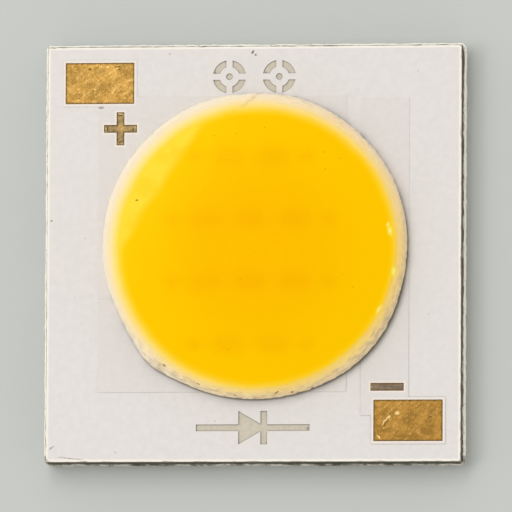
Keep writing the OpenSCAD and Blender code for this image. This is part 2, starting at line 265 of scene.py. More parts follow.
def white_solder_mask():
    # Screen-printed white epoxy ink, cured: satin, a shade warmer where it is thin over the copper, thick
    # and bright along the cut edge, with grey specks of fluff and dust
    material, tree, shader, place = start_material("white_solder_mask", {"Roughness": 0.5, "IOR": 1.5})
    fine = cloud(tree, place, 0.2, 3.0, 0.6).outputs[0]
    broad = cloud(tree, place, 3.2, 2.0).outputs[0]
    colour = blend_colour(tree, band(tree, fine, 0.3, 0.7), "e0dbd9", "e5e0de")
    colour = blend_colour(tree, band(tree, broad, 0.35, 0.7, 0, 0.3), colour, "dfded9")
    level = add(tree, "ShaderNodeSeparateXYZ", links={0: place}).outputs["Z"]
    raised = band(tree, level, FACE_Z - 0.012 * MM, FACE_Z - 0.003 * MM, 0, 0.3)
    colour = blend_colour(tree, raised, colour, "d9d2cd")
    out = from_edge(tree, warp(tree, place, 0.3, 0.02))
    at_edge = band(tree, out, FACE_EDGE - 0.1 * MM, FACE_EDGE - 0.03 * MM)
    colour = blend_colour(tree, at_edge, colour, "f8f2e9")
    # Painted shade with grime: the mask is darkened where the occlusion finds the crevice beside the dam,
    # mostly on its near right side, standing for the dam's contact shadow
    crevice = add(tree, "ShaderNodeAmbientOcclusion", {"Distance": 0.12 * MM}, samples=8).outputs["AO"]
    along = add(tree, "ShaderNodeVectorMath", {1: (*LOWER_RIGHT, 0)}, {0: place}, operation="DOT_PRODUCT")
    near_right = band(tree, along.outputs["Value"], 0.3 * MM, 2.4 * MM, 0.12, 1.0)
    crevice_shade_and_grime = calculate(tree, "MULTIPLY", band(tree, crevice, 0.85, 0.55, 0, 0.8), near_right)
    colour = blend_colour(tree, crevice_shade_and_grime, colour, "80765f")
    # The ink draws up into a warm pale lip round each opening that bares metal
    openings = [board_place(name) for name in ("anode_pad", "cathode_pad", "minus_mark")]
    openings += cross_bars("plus_mark", board_place("minus_mark")[3])
    beside = rim_of(tree, warp(tree, place, 0.2, 0.015), openings)
    colour = blend_colour(tree, band(tree, beside, 0.09 * MM, 0.02 * MM, 0, 0.8), colour, "f4e8dc")
    dust = scattered_specks(tree, warp(tree, place, 0.05, 0.02), 0.62, 0.028, 0.06)
    colour = blend_colour(tree, dust, colour, "b5aea4")
    marks = [(-0.05, 6.46, 0.14, 0.08, 60), (0.04, 6.36, 0.08, 0.06, 0), (-6.5, 1.08, 0.08, 0.06, 0)]
    dots = [
        (-2.72, 6.42, 0.1, 0.07, 20), (5.25, 5.81, 0.06, 0.05, 0), (-5.42, 0.51, 0.07, 0.05, 0),
        (-5.74, -1.39, 0.06, 0.05, 0), (-4.4, -6.34, 0.09, 0.05, 0)
    ]
    faint_marks = [(-4.92, 4.7, 0.2, 0.1, 0), (-6.46, -6.2, 0.22, 0.05, 35), (-5.84, -6.53, 0.9, 0.03, -6)]
    dirt = flecks(tree, warp(tree, place, 0.06, 0.03), marks)
    colour = blend_colour(tree, dirt, colour, "857d73")
    colour = blend_colour(tree, flecks(tree, warp(tree, place, 0.06, 0.03), dots), colour, "cbc5be")
    smudges = flecks(tree, warp(tree, place, 0.08, 0.04), faint_marks)
    colour = blend_colour(tree, smudges, colour, "aaa39a")
    tree.links.new(colour, shader.inputs["Base Color"])
    rough_surface(tree, shader, cloud(tree, place, 0.16, 3.0).outputs[0], 0.003)
    return material


def dielectric_epoxy():
    # Filled epoxy film, bonded to the base: pale grey tan from above, and dark where the score cuts it
    values = {"Roughness": 0.6, "IOR": 1.55}
    material, tree, shader, place = start_material("filled_epoxy_dielectric", values)
    grain = cloud(tree, place, 0.12, 4.0).outputs[0]
    face = blend_colour(tree, band(tree, grain, 0.3, 0.7), "c9c1af", "d2cab9")
    # Painted shade: the face is darkened near the walls of the mask's openings, where the recess lies in
    # shade
    recess_shade = add(tree, "ShaderNodeAmbientOcclusion", {"Distance": 0.05 * MM}, samples=6)
    face = blend_colour(tree, band(tree, recess_shade.outputs["AO"], 0.85, 0.55), face, "8a806d")
    ends = [
        (-1.86, -5.55, 0.07, 0.12, 10), (1.76, -5.58, 0.07, 0.13, -15), (-0.16, -5.1, 0.12, 0.06, -30),
        (-0.2, -6.0, 0.1, 0.05, 40), (0.48, -5.14, 0.1, 0.05, 10), (0.46, -6.02, 0.12, 0.05, 0),
        (-0.9, 6.17, 0.1, 0.05, 10), (-0.36, 5.62, 0.05, 0.1, 0), (-1.25, 5.8, 0.05, 0.1, 20),
        (0.88, 6.16, 0.1, 0.05, -15), (0.36, 5.8, 0.05, 0.09, 0), (1.22, 5.62, 0.05, 0.1, 10)
    ]
    specks = calculate(tree, "MULTIPLY", flecks(tree, warp(tree, place, 0.07, 0.035), ends), 0.65)
    face = blend_colour(tree, specks, face, "6f6756")
    normal = add(tree, "ShaderNodeNewGeometry").outputs["Normal"]
    upward = add(tree, "ShaderNodeSeparateXYZ", links={0: normal}).outputs["Z"]
    cut = blend_colour(tree, band(tree, grain, 0.4, 0.6), "352f24", "60594a")
    colour = blend_colour(tree, band(tree, upward, 0.5, 0.9), cut, face)
    tree.links.new(colour, shader.inputs["Base Color"])
    rough_surface(tree, shader, grain, 0.006)
    return material


def scored_aluminium():
    # Rolled aluminium sheet: brushed faces, milled score walls with a wavy dark line of painted shade under
    # the epoxy and painted dark streaks on the near side, and between them the snapped web, torn, pale and
    # matt, with dark pits
    material, tree, shader, place = start_material("rolled_aluminium", {"Metallic": 1.0})
    level = add(tree, "ShaderNodeSeparateXYZ", links={0: place}).outputs["Z"]
    streaks = add(tree, "ShaderNodeMapping", {"Scale": (1, 1, 12)}, {"Vector": place})
    milled = cloud(tree, streaks.outputs[0], 0.25, 5.0, 0.6).outputs[0]
    torn = cloud(tree, place, 0.09, 4.0, 0.7).outputs[0]
    runs = cloud(tree, place, 0.5, 4.0, 0.65).outputs[0]
    colour = blend_colour(tree, band(tree, milled, 0.35, 0.65), "aeaca3", "dedbd2")
    off = calculate(tree, "ABSOLUTE", calculate(tree, "SUBTRACT", level, FACE_Z / 2))
    # Painted shade: a wavy dark line just below the epoxy layer, for the crevice under the mask's edge
    shade_line_wave = calculate(tree, "MULTIPLY", band(tree, runs, 0.3, 0.7, 0.03, 0.3), MM)
    below = calculate(tree, "SUBTRACT", base_high.z, level)
    crevice_shade_line = band(tree, calculate(tree, "SUBTRACT", below, shade_line_wave), 0.03 * MM, -0.03 * MM)
    colour = blend_colour(tree, crevice_shade_line, colour, "585040")
    # The near side's score wall is painted dark and streaky, partly as painted shade, since that wall faces
    # away from the light
    near = add(tree, "ShaderNodeSeparateXYZ", links={0: place}).outputs["Y"]
    near_side_shade_and_streaks = calculate(tree, "MULTIPLY", band(tree, near, 0.35 * MM - EDGE, 0.28 * MM - EDGE),
                        band(tree, runs, 0.62, 0.4, 0.45, 1.0))
    near_side_shade_and_streaks = calculate(tree, "MULTIPLY", near_side_shade_and_streaks, band(tree, level, SCORE_DEPTH, 0.8 * MM, 0.62, 1.0))
    in_web = band(tree, off, WEB / 2 + 0.05 * MM, WEB / 2 + 0.02 * MM)
    web = blend_colour(tree, band(tree, torn, 0.3, 0.42), "8f8978", "fbf7ec")
    colour = blend_colour(tree, in_web, colour, web)
    colour = blend_colour(tree, near_side_shade_and_streaks, colour, "44412f")
    tree.links.new(colour, shader.inputs["Base Color"])
    tree.links.new(band(tree, in_web, 0, 1, 0.4, 0.75), shader.inputs["Roughness"])
    tree.links.new(band(tree, in_web, 0, 1, 1.0, 0.1), shader.inputs["Metallic"])
    rough_surface(tree, shader, calculate(tree, "ADD", milled, torn), 0.02)
    return material


def plain_copper():
    # Rolled copper foil under the mask: seen only where the board is cut open
    material, tree, shader, place = start_material("copper_foil", {"Metallic": 1.0, "Roughness": 0.4})
    grain = cloud(tree, place, 0.15, 4.0).outputs[0]
    colour = blend_colour(tree, band(tree, grain, 0.35, 0.65), "b87352", "d38e68")
    tree.links.new(colour, shader.inputs["Base Color"])
    rough_surface(tree, shader, grain, 0.004)
    return material


def rim_of(tree, place, rectangles):
    """Distance inside the outline of a union of rectangles: 0 at the outline and below 0 within"""
    nearest = None
    for x, y, width, height in rectangles:
        local = add(tree, "ShaderNodeVectorMath", {1: (x, y, 0)}, {0: place}, operation="SUBTRACT")
        folded = add(tree, "ShaderNodeVectorMath", links={0: local.outputs[0]}, operation="ABSOLUTE")
        past = add(tree, "ShaderNodeVectorMath", {1: (width / 2, height / 2, 0)}, {0: folded.outputs[0]},
                   operation="SUBTRACT")
        parts = add(tree, "ShaderNodeSeparateXYZ", links={0: past.outputs[0]})
        inside = calculate(tree, "MAXIMUM", parts.outputs[0], parts.outputs[1])
        nearest = inside if nearest is None else calculate(tree, "MINIMUM", nearest, inside)
    return nearest


def gold_finish(name, tones, rectangles, turn, patches=(), scratches=(), nicks=(), worn=None):
    # Thin immersion gold over nickel: soft satin metal, mottled, rubbed in strokes one way, with a brown edge
    # that is partly painted shade of the mask's wall and partly dirt and tarnish. The tones are dull, plain
    # and bright
    material, tree, shader, place = start_material(name, {"Metallic": 1.0})
    wavy = warp(tree, place, 0.1, 0.03)
    grain = cloud(tree, place, 0.075, 4.0, 0.7).outputs[0]
    turned = add(tree, "ShaderNodeMapping", {"Rotation": (0, 0, math.radians(turn)), "Scale": (3.2, 1, 1)},
                 {"Vector": place}, vector_type="TEXTURE")
    strokes = cloud(tree, turned.outputs[0], 0.15, 3.0, 0.6).outputs[0]
    mottle = cloud(tree, place, 0.55, 4.0, 0.65).outputs[0]
    dull, plain, bright = tones
    colour = blend_colour(tree, band(tree, mottle, 0.36, 0.6), dull, plain)
    colour = blend_colour(tree, band(tree, strokes, 0.52, 0.72, 0, 0.6), colour, bright)
    colour = blend_colour(tree, band(tree, grain, 0.54, 0.66, 0, 0.4), colour, dull)
    colour = blend_colour(tree, band(tree, grain, 0.42, 0.32, 0, 0.55), colour, bright)
    if worn:
        middle = from_centre(tree, place, worn[0] * MM, worn[1] * MM)
        colour = blend_colour(tree, band(tree, middle, worn[2] / 2 * MM, 0, 0, 0.8), colour, "bc9860")
    for marks, tint, strength in ((patches, dull, 0.9), (scratches, "f0d296", 0.75), (nicks, "4a3819", 0.8)):
        if marks:
            marked = flecks(tree, warp(tree, place, 0.16, 0.05), marks)
            colour = blend_colour(tree, calculate(tree, "MULTIPLY", marked, strength), colour, tint)
    # Painted shade along the outline, where the mask's wall stands over the pad, with some dirt and tarnish
    rim = rim_of(tree, wavy, rectangles)
    colour = blend_colour(tree, band(tree, rim, -0.08 * MM, -0.03 * MM, 0, 0.6), colour, "7a5f34")
    colour = blend_colour(tree, band(tree, rim, -0.04 * MM, -0.005 * MM, 0, 0.9), colour, "4a3b26")
    tree.links.new(colour, shader.inputs["Base Color"])
    tree.links.new(band(tree, grain, 0.3, 0.7, 0.38, 0.6), shader.inputs["Roughness"])
    rough_surface(tree, shader, calculate(tree, "ADD", grain, strokes), 0.006)
    return material


def cream_to_yellow(tree, place):
    """The colour across the ring: dense yellow inside, fading over the crest to cream as the powder thins"""
    reach = from_centre(tree, warp(tree, place, 0.7, 0.04), YELLOW_X, YELLOW_Y)
    past = calculate(tree, "SUBTRACT", reach, YELLOW)
    share = add(tree, "ShaderNodeMapRange", {"From Min": -0.3 * MM, "From Max": 0.5 * MM}, {"Value": past})
    ramp = add(tree, "ShaderNodeValToRGB", links={0: share.outputs[0]})
    stops = ramp.color_ramp.elements
    stops[0].position, stops[0].color = 0.0, linear("ffc400")
    stops[1].position, stops[1].color = 1.0, linear("f6e9d2")
    between = ((0.22, "ffcb0c"), (0.375, "ffd23c"), (0.5, "ffdb6c"), (0.66, "fde09a"), (0.82, "f8e3bc"))
    for position, code in between:
        stop = stops.new(position)
        stop.color = linear(code)
    return ramp.outputs["Color"], reach


def painted_rim_glints(tree, place, size):
    """Painted highlights: small glints of the light on the rim at the right, drawn as bright beads"""
    glint_marks = [(4.36, 0.86, 0.16, 0.1, 60), (4.42, 0.66, 0.34, 0.16, -80), (4.55, -0.64, 0.36, 0.17, 85),
             (4.08, -1.84, 0.36, 0.12, 62)]
    sized = [(x, y, length * size, width * size, turn) for x, y, length, width, turn in glint_marks]
    return flecks(tree, warp(tree, place, 0.12, 0.025), sized)


def round_ring(tree, place):
    """Coordinates whose patterns are drawn out round the dam, four times as long as they are wide"""
    local = add(tree, "ShaderNodeVectorMath", {1: (DAM_X, DAM_Y, 0)}, {0: place}, operation="SUBTRACT")
    flat = add(tree, "ShaderNodeVectorMath", {1: (1, 1, 0)}, {0: local.outputs[0]}, operation="MULTIPLY")
    reach = add(tree, "ShaderNodeVectorMath", links={0: flat.outputs[0]}, operation="LENGTH").outputs["Value"]
    way = add(tree, "ShaderNodeVectorMath", links={0: flat.outputs[0]}, operation="NORMALIZE").outputs[0]
    drawn = add(tree, "ShaderNodeVectorMath", {"Scale": 1.2 * MM}, {0: way}, operation="SCALE").outputs[0]
    height = add(tree, "ShaderNodeCombineXYZ", links={2: reach}).outputs[0]
    return add(tree, "ShaderNodeVectorMath", links={0: drawn, 1: height}, operation="ADD").outputs[0]


def dam_silicone():
    # Thixotropic white silicone, laid as a bead: waxy cream, lit from within, yellow where powder has settled
    # on its crest, with grime and painted contact shade at its foot, a painted yellow glow on its right side
    # and painted glints on its rim
    values = {
        "Roughness": 0.36, "IOR": 1.41, "Subsurface Weight": 0.5, "Subsurface Radius": (1.0, 0.7, 0.4),
        "Subsurface Scale": 0.08 * MM
    }
    material, tree, shader, place = start_material("dispensed_silicone_dam", values)
    colour = cream_to_yellow(tree, place)[0]
    ripple = cloud(tree, place, 0.35, 3.0).outputs[0]
    # Warmer yellow right of the seam, strongest to the right: partly the seam's own tint and partly a painted
    # yellow glow from the phosphor
    yellow_tint_and_glow = add(tree, "ShaderNodeAttribute", attribute_name="yellow_tint_and_glow").outputs["Fac"]
    colour = blend_colour(tree, calculate(tree, "MULTIPLY", yellow_tint_and_glow, 0.36), colour, "f1cf98")
    wrinkles = cloud(tree, round_ring(tree, warp(tree, place, 0.3, 0.05)), 0.075, 4.0, 0.65).outputs[0]
    flank = add(tree, "ShaderNodeAttribute", attribute_name="flank").outputs["Fac"]
    rubbed = calculate(tree, "MULTIPLY", flank, band(tree, wrinkles, 0.4, 0.68, 0.05, 0.75))
    colour = blend_colour(tree, rubbed, colour, "bdab88")
    # At the foot, a broken dark line where the bead meets the board: painted contact shade broken up like
    # grime, and specks of dirt elsewhere
    foot_shade_and_grime = add(tree, "ShaderNodeAttribute", attribute_name="foot_shade_and_grime").outputs["Fac"]
    crevice_shade_and_grime = calculate(tree, "ADD", wrinkles, calculate(tree, "MULTIPLY", foot_shade_and_grime, 0.42))
    crevice_shade_and_grime = calculate(tree, "MULTIPLY", band(tree, crevice_shade_and_grime, 0.64, 0.76), band(tree, foot_shade_and_grime, 0.02, 0.2))
    colour = blend_colour(tree, calculate(tree, "MULTIPLY", crevice_shade_and_grime, 0.9), colour, "5d523a")
    crease = add(tree, "ShaderNodeAttribute", attribute_name="crease").outputs["Fac"]
    colour = blend_colour(tree, calculate(tree, "MULTIPLY", crease, 0.5), colour, "dba95c")
    marks = [
        (-2.18, 4.65, 0.1, 0.07, 60), (-1.86, 4.82, 0.12, 0.06, 20), (-0.57, 5.02, 0.08, 0.05, 0),
        (-0.3, 5.09, 0.26, 0.05, 4), (0.1, 5.05, 0.2, 0.05, -10), (-0.12, 5.26, 0.035, 0.2, 10),
        (-0.02, 5.14, 0.03, 0.13, -15),
        (-3.3, 3.86, 0.16, 0.05, 10), (-3.2, 3.93, 0.05, 0.12, 20)
    ]
    height = add(tree, "ShaderNodeSeparateXYZ", links={0: place}).outputs["Z"]
    at_foot = band(tree, height, FACE_Z + 0.3 * MM, FACE_Z + 0.16 * MM)
    marked = calculate(tree, "MULTIPLY", flecks(tree, warp(tree, place, 0.06, 0.02), marks), at_foot)
    colour = blend_colour(tree, marked, colour, "7d7259")
    crumbs = [
        (0.82, -4.47, 0.16, 0.06, 25), (-1.69, -4.2, 0.14, 0.05, -30), (-2.78, -3.6, 0.12, 0.06, -40),
        (-0.52, -4.56, 0.14, 0.04, -10), (1.3, -4.46, 0.12, 0.05, 15), (-4.86, 1.6, 0.05, 0.12, 10),
        (-4.93, 1.1, 0.05, 0.1, -20), (-4.83, 0.86, 0.06, 0.06, 0), (-4.7, 2.0, 0.06, 0.08, 0)
    ]
    at_crest = band(tree, height, dam_high.z - 0.3 * MM, dam_high.z - 0.22 * MM)
    crumbled = flecks(tree, warp(tree, place, 0.07, 0.03), crumbs)
    crumbled = calculate(tree, "MULTIPLY", crumbled, calculate(tree, "MAXIMUM", at_foot, at_crest))
    colour = blend_colour(tree, crumbled, colour, "b08a50")
    # Painted highlights: glints of the light on the rim at the right
    colour = blend_colour(tree, painted_rim_glints(tree, place, 1.1), colour, "ffdf50")
    colour = blend_colour(tree, painted_rim_glints(tree, place, 0.5), colour, "fff08e")
    tree.links.new(colour, shader.inputs["Base Color"])
    relief = calculate(tree, "ADD", ripple, calculate(tree, "MULTIPLY", wrinkles, flank))
    rough_surface(tree, shader, relief, 0.009)
    return material


def phosphor_silicone():
    # Yellow garnet powder in clear silicone, poured and cured: dense yellow with a thin gloss. The dies and
    # bond points below it are painted on as soft darker places, a painted shade of them seen through the
    # silicone; a painted reflection pales the upper left and painted glints sit on the rim
    values = {
        "Roughness": 0.18, "IOR": 1.41, "Specular IOR Level": 0.35, "Specular Tint": (1.0, 0.9, 0.05, 1.0)
    }
    material, tree, shader, place = start_material("phosphor_silicone", values)
    rim_colour, reach = cream_to_yellow(tree, place)
    middle = blend_colour(tree, band(tree, reach, 1.2 * MM, 4.0 * MM), "ffbd00", "ffc700")
    # Painted shade of the dies, bond points and wires seen through the phosphor
    under = add(tree, "ShaderNodeAttribute", attribute_name="under").outputs["Fac"]
    grain = cloud(tree, place, 0.13, 4.0, 0.6).outputs[0]
    painted_die_shade = calculate(tree, "MULTIPLY", under, band(tree, grain, 0.32, 0.68, 0.5, 1.5))
    colour = blend_colour(tree, painted_die_shade, middle, "f6a500")
    colour = blend_colour(tree, band(tree, grain, 0.4, 0.75, 0, 0.35), colour, "ffc700")
    specks = scattered_specks(tree, place, 0.36, 0.03, 0.14)
    colour = blend_colour(tree, calculate(tree, "MULTIPLY", specks, 0.75), colour, "d29200")
    marks = [
        (-1.18, 3.72, 0.07, 0.05, 0), (-0.5, 3.79, 0.06, 0.05, 0), (2.3, 3.18, 0.07, 0.05, 20),
        (2.84, 2.98, 0.06, 0.05, 0), (2.36, 2.63, 0.06, 0.06, 0)
    ]
    marked = calculate(tree, "MULTIPLY", flecks(tree, warp(tree, place, 0.05, 0.02), marks), 0.38)
    colour = blend_colour(tree, marked, colour, "b88a10")
    colour = blend_colour(tree, band(tree, reach, YELLOW - 0.3 * MM, YELLOW - 0.12 * MM), colour, rim_colour)
    # Painted reflection: beyond a line across the upper left the pool is painted paler, for the softbox's
    # reflection in its gloss
    across = add(tree, "ShaderNodeVectorMath", {1: (*UPPER_LEFT, 0)}, {0: warp(tree, place, 1.3, 0.16)},
                 operation="DOT_PRODUCT").outputs["Value"]
    mottle = cloud(tree, place, 0.7, 4.0, 0.6).outputs[0]
    painted_crescent_reflection = band(tree, across, 3.42 * MM, 3.78 * MM)
    painted_crescent_reflection = calculate(tree, "MULTIPLY", painted_crescent_reflection, band(tree, mottle, 0.35, 0.6, 0.45, 0.8))
    painted_crescent_reflection = calculate(tree, "MULTIPLY", painted_crescent_reflection, band(tree, reach, YELLOW + 0.12 * MM, YELLOW - 0.15 * MM))
    colour = blend_colour(tree, painted_crescent_reflection, colour, "ffdc42")
    crumb = flecks(tree, warp(tree, place, 0.05, 0.01), [(-3.68, 1.67, 0.1, 0.06, 0)])
    colour = blend_colour(tree, crumb, colour, "a68a2a")
    # Painted highlights: glints of the light on the rim at the right
    colour = blend_colour(tree, painted_rim_glints(tree, place, 1.1), colour, "ffdf50")
    colour = blend_colour(tree, painted_rim_glints(tree, place, 0.5), colour, "fff08e")
    tree.links.new(colour, shader.inputs["Base Color"])
    swell = cloud(tree, place, 1.4, 2.0).outputs[0]
    relief = calculate(tree, "ADD", calculate(tree, "MULTIPLY", grain, 0.1), swell)
    rough_surface(tree, shader, relief, 0.008)
    return material


def hidden_finish(name, low, high, values, period):
    # A piece sealed under the phosphor: its own plain colour, broken by a fine grain
    material, tree, shader, place = start_material(name, values)
    grain = cloud(tree, place, period, 3.0).outputs[0]
    tree.links.new(blend_colour(tree, band(tree, grain, 0.35, 0.65), low, high), shader.inputs["Base Color"])
    rough_surface(tree, shader, grain, 0.002)
    return material


def studio_floor():
    # Pale paper sweep, matt
    material, _, shader, _ = start_material("paper_sweep", {"Roughness": 0.9})
    shader.inputs["Base Color"].default_value = linear("c8ccca")
    return material


def light_room():
    """The room: brighter near the horizon than overhead, where a dark ceiling keeps the gloss deep"""
    tree = world.node_tree
    direction = add(tree, "ShaderNodeTexCoord").outputs["Generated"]
    height = add(tree, "ShaderNodeSeparateXYZ", links={0: direction}).outputs["Z"]
    strength = band(tree, height, 0.1, 0.95, 1.12, 0.44)
    tree.nodes["Background"].inputs["Color"].default_value = linear("fdfbf6")
    tree.links.new(strength, tree.nodes["Background"].inputs["Strength"])


light_room()


# ---- Modelling ----
def deselect_all():
    bpy.ops.object.select_all(action="DESELECT")


def make_active(piece):
    deselect_all()
    piece.select_set(True)
    bpy.context.view_layer.objects.active = piece


def select_parts(piece, mode, test):
    """In edit mode, selects the edges or faces that pass a test"""
    bpy.ops.mesh.select_mode(type=mode)
    bpy.ops.mesh.select_all(action="DESELECT")
    shape = bmesh.from_edit_mesh(piece.data)
    for part in (shape.edges if mode == "EDGE" else shape.faces):
        part.select_set(test(part))
    bmesh.update_edit_mesh(piece.data)


def points_of(piece):
    points = np.empty(len(piece.data.vertices) * 3)
    piece.data.vertices.foreach_get("co", points)
    return points.reshape(-1, 3)


def set_points(piece, points):
    piece.data.vertices.foreach_set("co", points.ravel())
    piece.data.update()


def set_attribute(piece, name, values):
    layer = piece.data.attributes.new(name, "FLOAT", "POINT")
    layer.data.foreach_set("value", values)


def finish_piece(piece, name, material, replaced, angle):
    """Names a piece, smooths it below an angle, gives it its material and ties it to the board"""
    piece.name = name
    piece.data.name = name
    piece.data.materials.clear()
    piece.data.materials.append(material)
    make_active(piece)
    bpy.ops.object.transform_apply(location=True, rotation=True, scale=True)
    if angle:
        bpy.ops.object.shade_smooth_by_angle(angle=math.radians(angle))
    else:
        bpy.ops.object.shade_flat()
    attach(piece, "root")
    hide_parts(replaced)
    return piece


def waver(angle, seed, lowest, highest):
    """A smooth ripple round a circle, between about -1 and 1, with so many waves a turn"""
    draw = random.Random(seed)
    total = np.zeros_like(angle)
    for cycles in range(lowest, highest + 1):
        total += np.sin(cycles * angle + draw.uniform(0, 2 * math.pi)) * draw.uniform(0.4, 1)
    return total / math.sqrt(highest - lowest + 1)


def make_base():
    """The aluminium plate: a stack of extrusions up its scored side, with the snapped web left rough"""
    deselect_all()
    bpy.ops.mesh.primitive_plane_add(size=2 * FACE_EDGE, location=(0, 0, 0))
    piece = bpy.context.object
    bpy.ops.object.mode_set(mode="EDIT")
    top_edge = EDGE - LEDGE - (base_high.z - SCORE_DEPTH - WEB) * SCORE_SLOPE
    half = FACE_EDGE
    steps = [
        (SCORE_DEPTH, EDGE - LEDGE), (0.012 * MM, EDGE), (WEB - 0.04 * MM, EDGE), (0.028 * MM, EDGE - LEDGE),
        (base_high.z - SCORE_DEPTH - WEB, top_edge)
    ]
    for rise, reach in steps:
        bpy.ops.mesh.extrude_region_move(TRANSFORM_OT_translate={"value": (0, 0, rise)})
        bpy.ops.transform.resize(value=(reach / half, reach / half, 1), center_override=(0, 0, 0))
        half = reach
    bpy.ops.mesh.select_all(action="SELECT")
    bpy.ops.mesh.normals_make_consistent(inside=False)
    corner = 0.5 * MM
    select_parts(piece, "EDGE", lambda e: abs(e.verts[0].co.z - e.verts[1].co.z) > 0.005 * MM
                 and e.calc_length() < corner)
    bpy.ops.mesh.bevel(offset=CORNER, segments=5, affect="EDGES", clamp_overlap=True)
    select_parts(piece, "EDGE", lambda e: e.calc_length() > 5 * MM)
    bpy.ops.mesh.subdivide(number_cuts=210)
    web_low, web_high = SCORE_DEPTH - 0.01 * MM, SCORE_DEPTH + WEB + 0.01 * MM
    select_parts(piece, "EDGE", lambda e: abs(e.verts[0].co.z - e.verts[1].co.z) > 0.1 * MM
                 and web_low < (e.verts[0].co.z + e.verts[1].co.z) / 2 < web_high)
    bpy.ops.mesh.subdivide(number_cuts=4)
    bpy.ops.object.mode_set(mode="OBJECT")
    points = points_of(piece)
    for point in points:
        at = Vector(point)
        if web_low < at.z < web_high:
            torn = noise.fractal(at / (0.14 * MM), 1.0, 2.0, 4) * 0.02 * MM
            worn = abs(noise.noise(at / (0.6 * MM))) * 0.03 * MM
            point[:2] *= 1 + (torn - worn) / EDGE
        elif at.z > web_high:
            point[:2] *= 1 - abs(noise.noise(at / (0.3 * MM))) * 0.012 * MM / EDGE
    set_points(piece, points)
    finish = scored_aluminium()
    return finish_piece(piece, "scored_base_plate", finish, "aluminium_base", 40)


def make_mask():
    """The mask: the frame's own outline, its steps rounded by a bevel and its outer edge left ragged"""
    deselect_all()
    source = nodes["solder_mask"]
    piece = bpy.data.objects.new("mask", source.data.copy())
    bpy.context.scene.collection.objects.link(piece)
    make_active(piece)
    bpy.ops.object.mode_set(mode="EDIT")
    bpy.ops.mesh.select_all(action="SELECT")
    bpy.ops.mesh.remove_doubles(threshold=0.0005 * MM)
    bpy.ops.mesh.dissolve_limited(angle_limit=math.radians(1))
    rim = mask_high.x - 0.03 * MM
    # One side at a time, so that no cut runs from side to side across the face
    for axis, side in ((0, 1), (0, -1), (1, 1), (1, -1)):
        for shortest, cuts in ((5 * MM, 99), (0.05 * MM, 1)):
            select_parts(piece, "EDGE", lambda e: e.calc_length() > shortest
                         and all(v.co[axis] * side > rim for v in e.verts))
            bpy.ops.mesh.subdivide(number_cuts=cuts)
    bpy.ops.object.mode_set(mode="OBJECT")
    points = points_of(piece)
    for point in points:
        if max(abs(point[0]), abs(point[1])) > rim:
            at = Vector(point)
            nibble = max(0, noise.fractal(at / (0.25 * MM), 1.0, 2.0, 4)) * 0.03 * MM
            point[:2] *= 1 - (nibble + 0.004 * MM) / EDGE
            # Corners rubbed round, the lower left one most
            round_off = (0.2 if point[0] < 0 and point[1] < 0 else 0.12) * MM
            start = mask_high.x - round_off
            past = np.abs(point[:2]) - start
            if past.min() > 0 and np.hypot(*past) > round_off:
                point[:2] = np.sign(point[:2]) * (start + past * round_off / np.hypot(*past))
    set_points(piece, points)
    bevel = piece.modifiers.new("rounded_steps", "BEVEL")
    bevel.width = 0.005 * MM
    bevel.segments = 2
    bevel.limit_method = "ANGLE"
    bevel.angle_limit = math.radians(35)
    make_active(piece)
    bpy.ops.object.modifier_apply(modifier=bevel.name)
    return finish_piece(piece, "printed_white_mask", white_solder_mask(), "solder_mask", 0)


def crest_swell(angle):
    """How much fatter or thinner the bead is round the dam, as a share of its radius"""
    return 0.012 * waver(angle, 3, 2, 9) + 0.004 * waver(angle, 4, 12, 24)


def lobe(angle, place, width):
    """1 at a place round the dam, falling away to either side. Both are in degrees"""
    from_place = np.degrees(np.angle(np.exp(1j * (angle - math.radians(place)))))
    return np.exp(-(from_place / width) ** 2)


# Where the bead has run out or been pulled in: angle, half width in degrees, and reach in millimetres
BULGES = (
    (90, 9, -0.04), (150, 40, -0.045), (182, 16, -0.035), (206, 11, -0.07), (229, 9, 0.12), (318, 22, 0.09)
)
# Where the bead is grimy and its foot painted with shade, most on its near side and at the right: angle, half
# width, and how much
GRIME_AND_SHADE_SIDES = ((62, 16, 0.35), (255, 44, 1.0), (335, 30, 0.75))


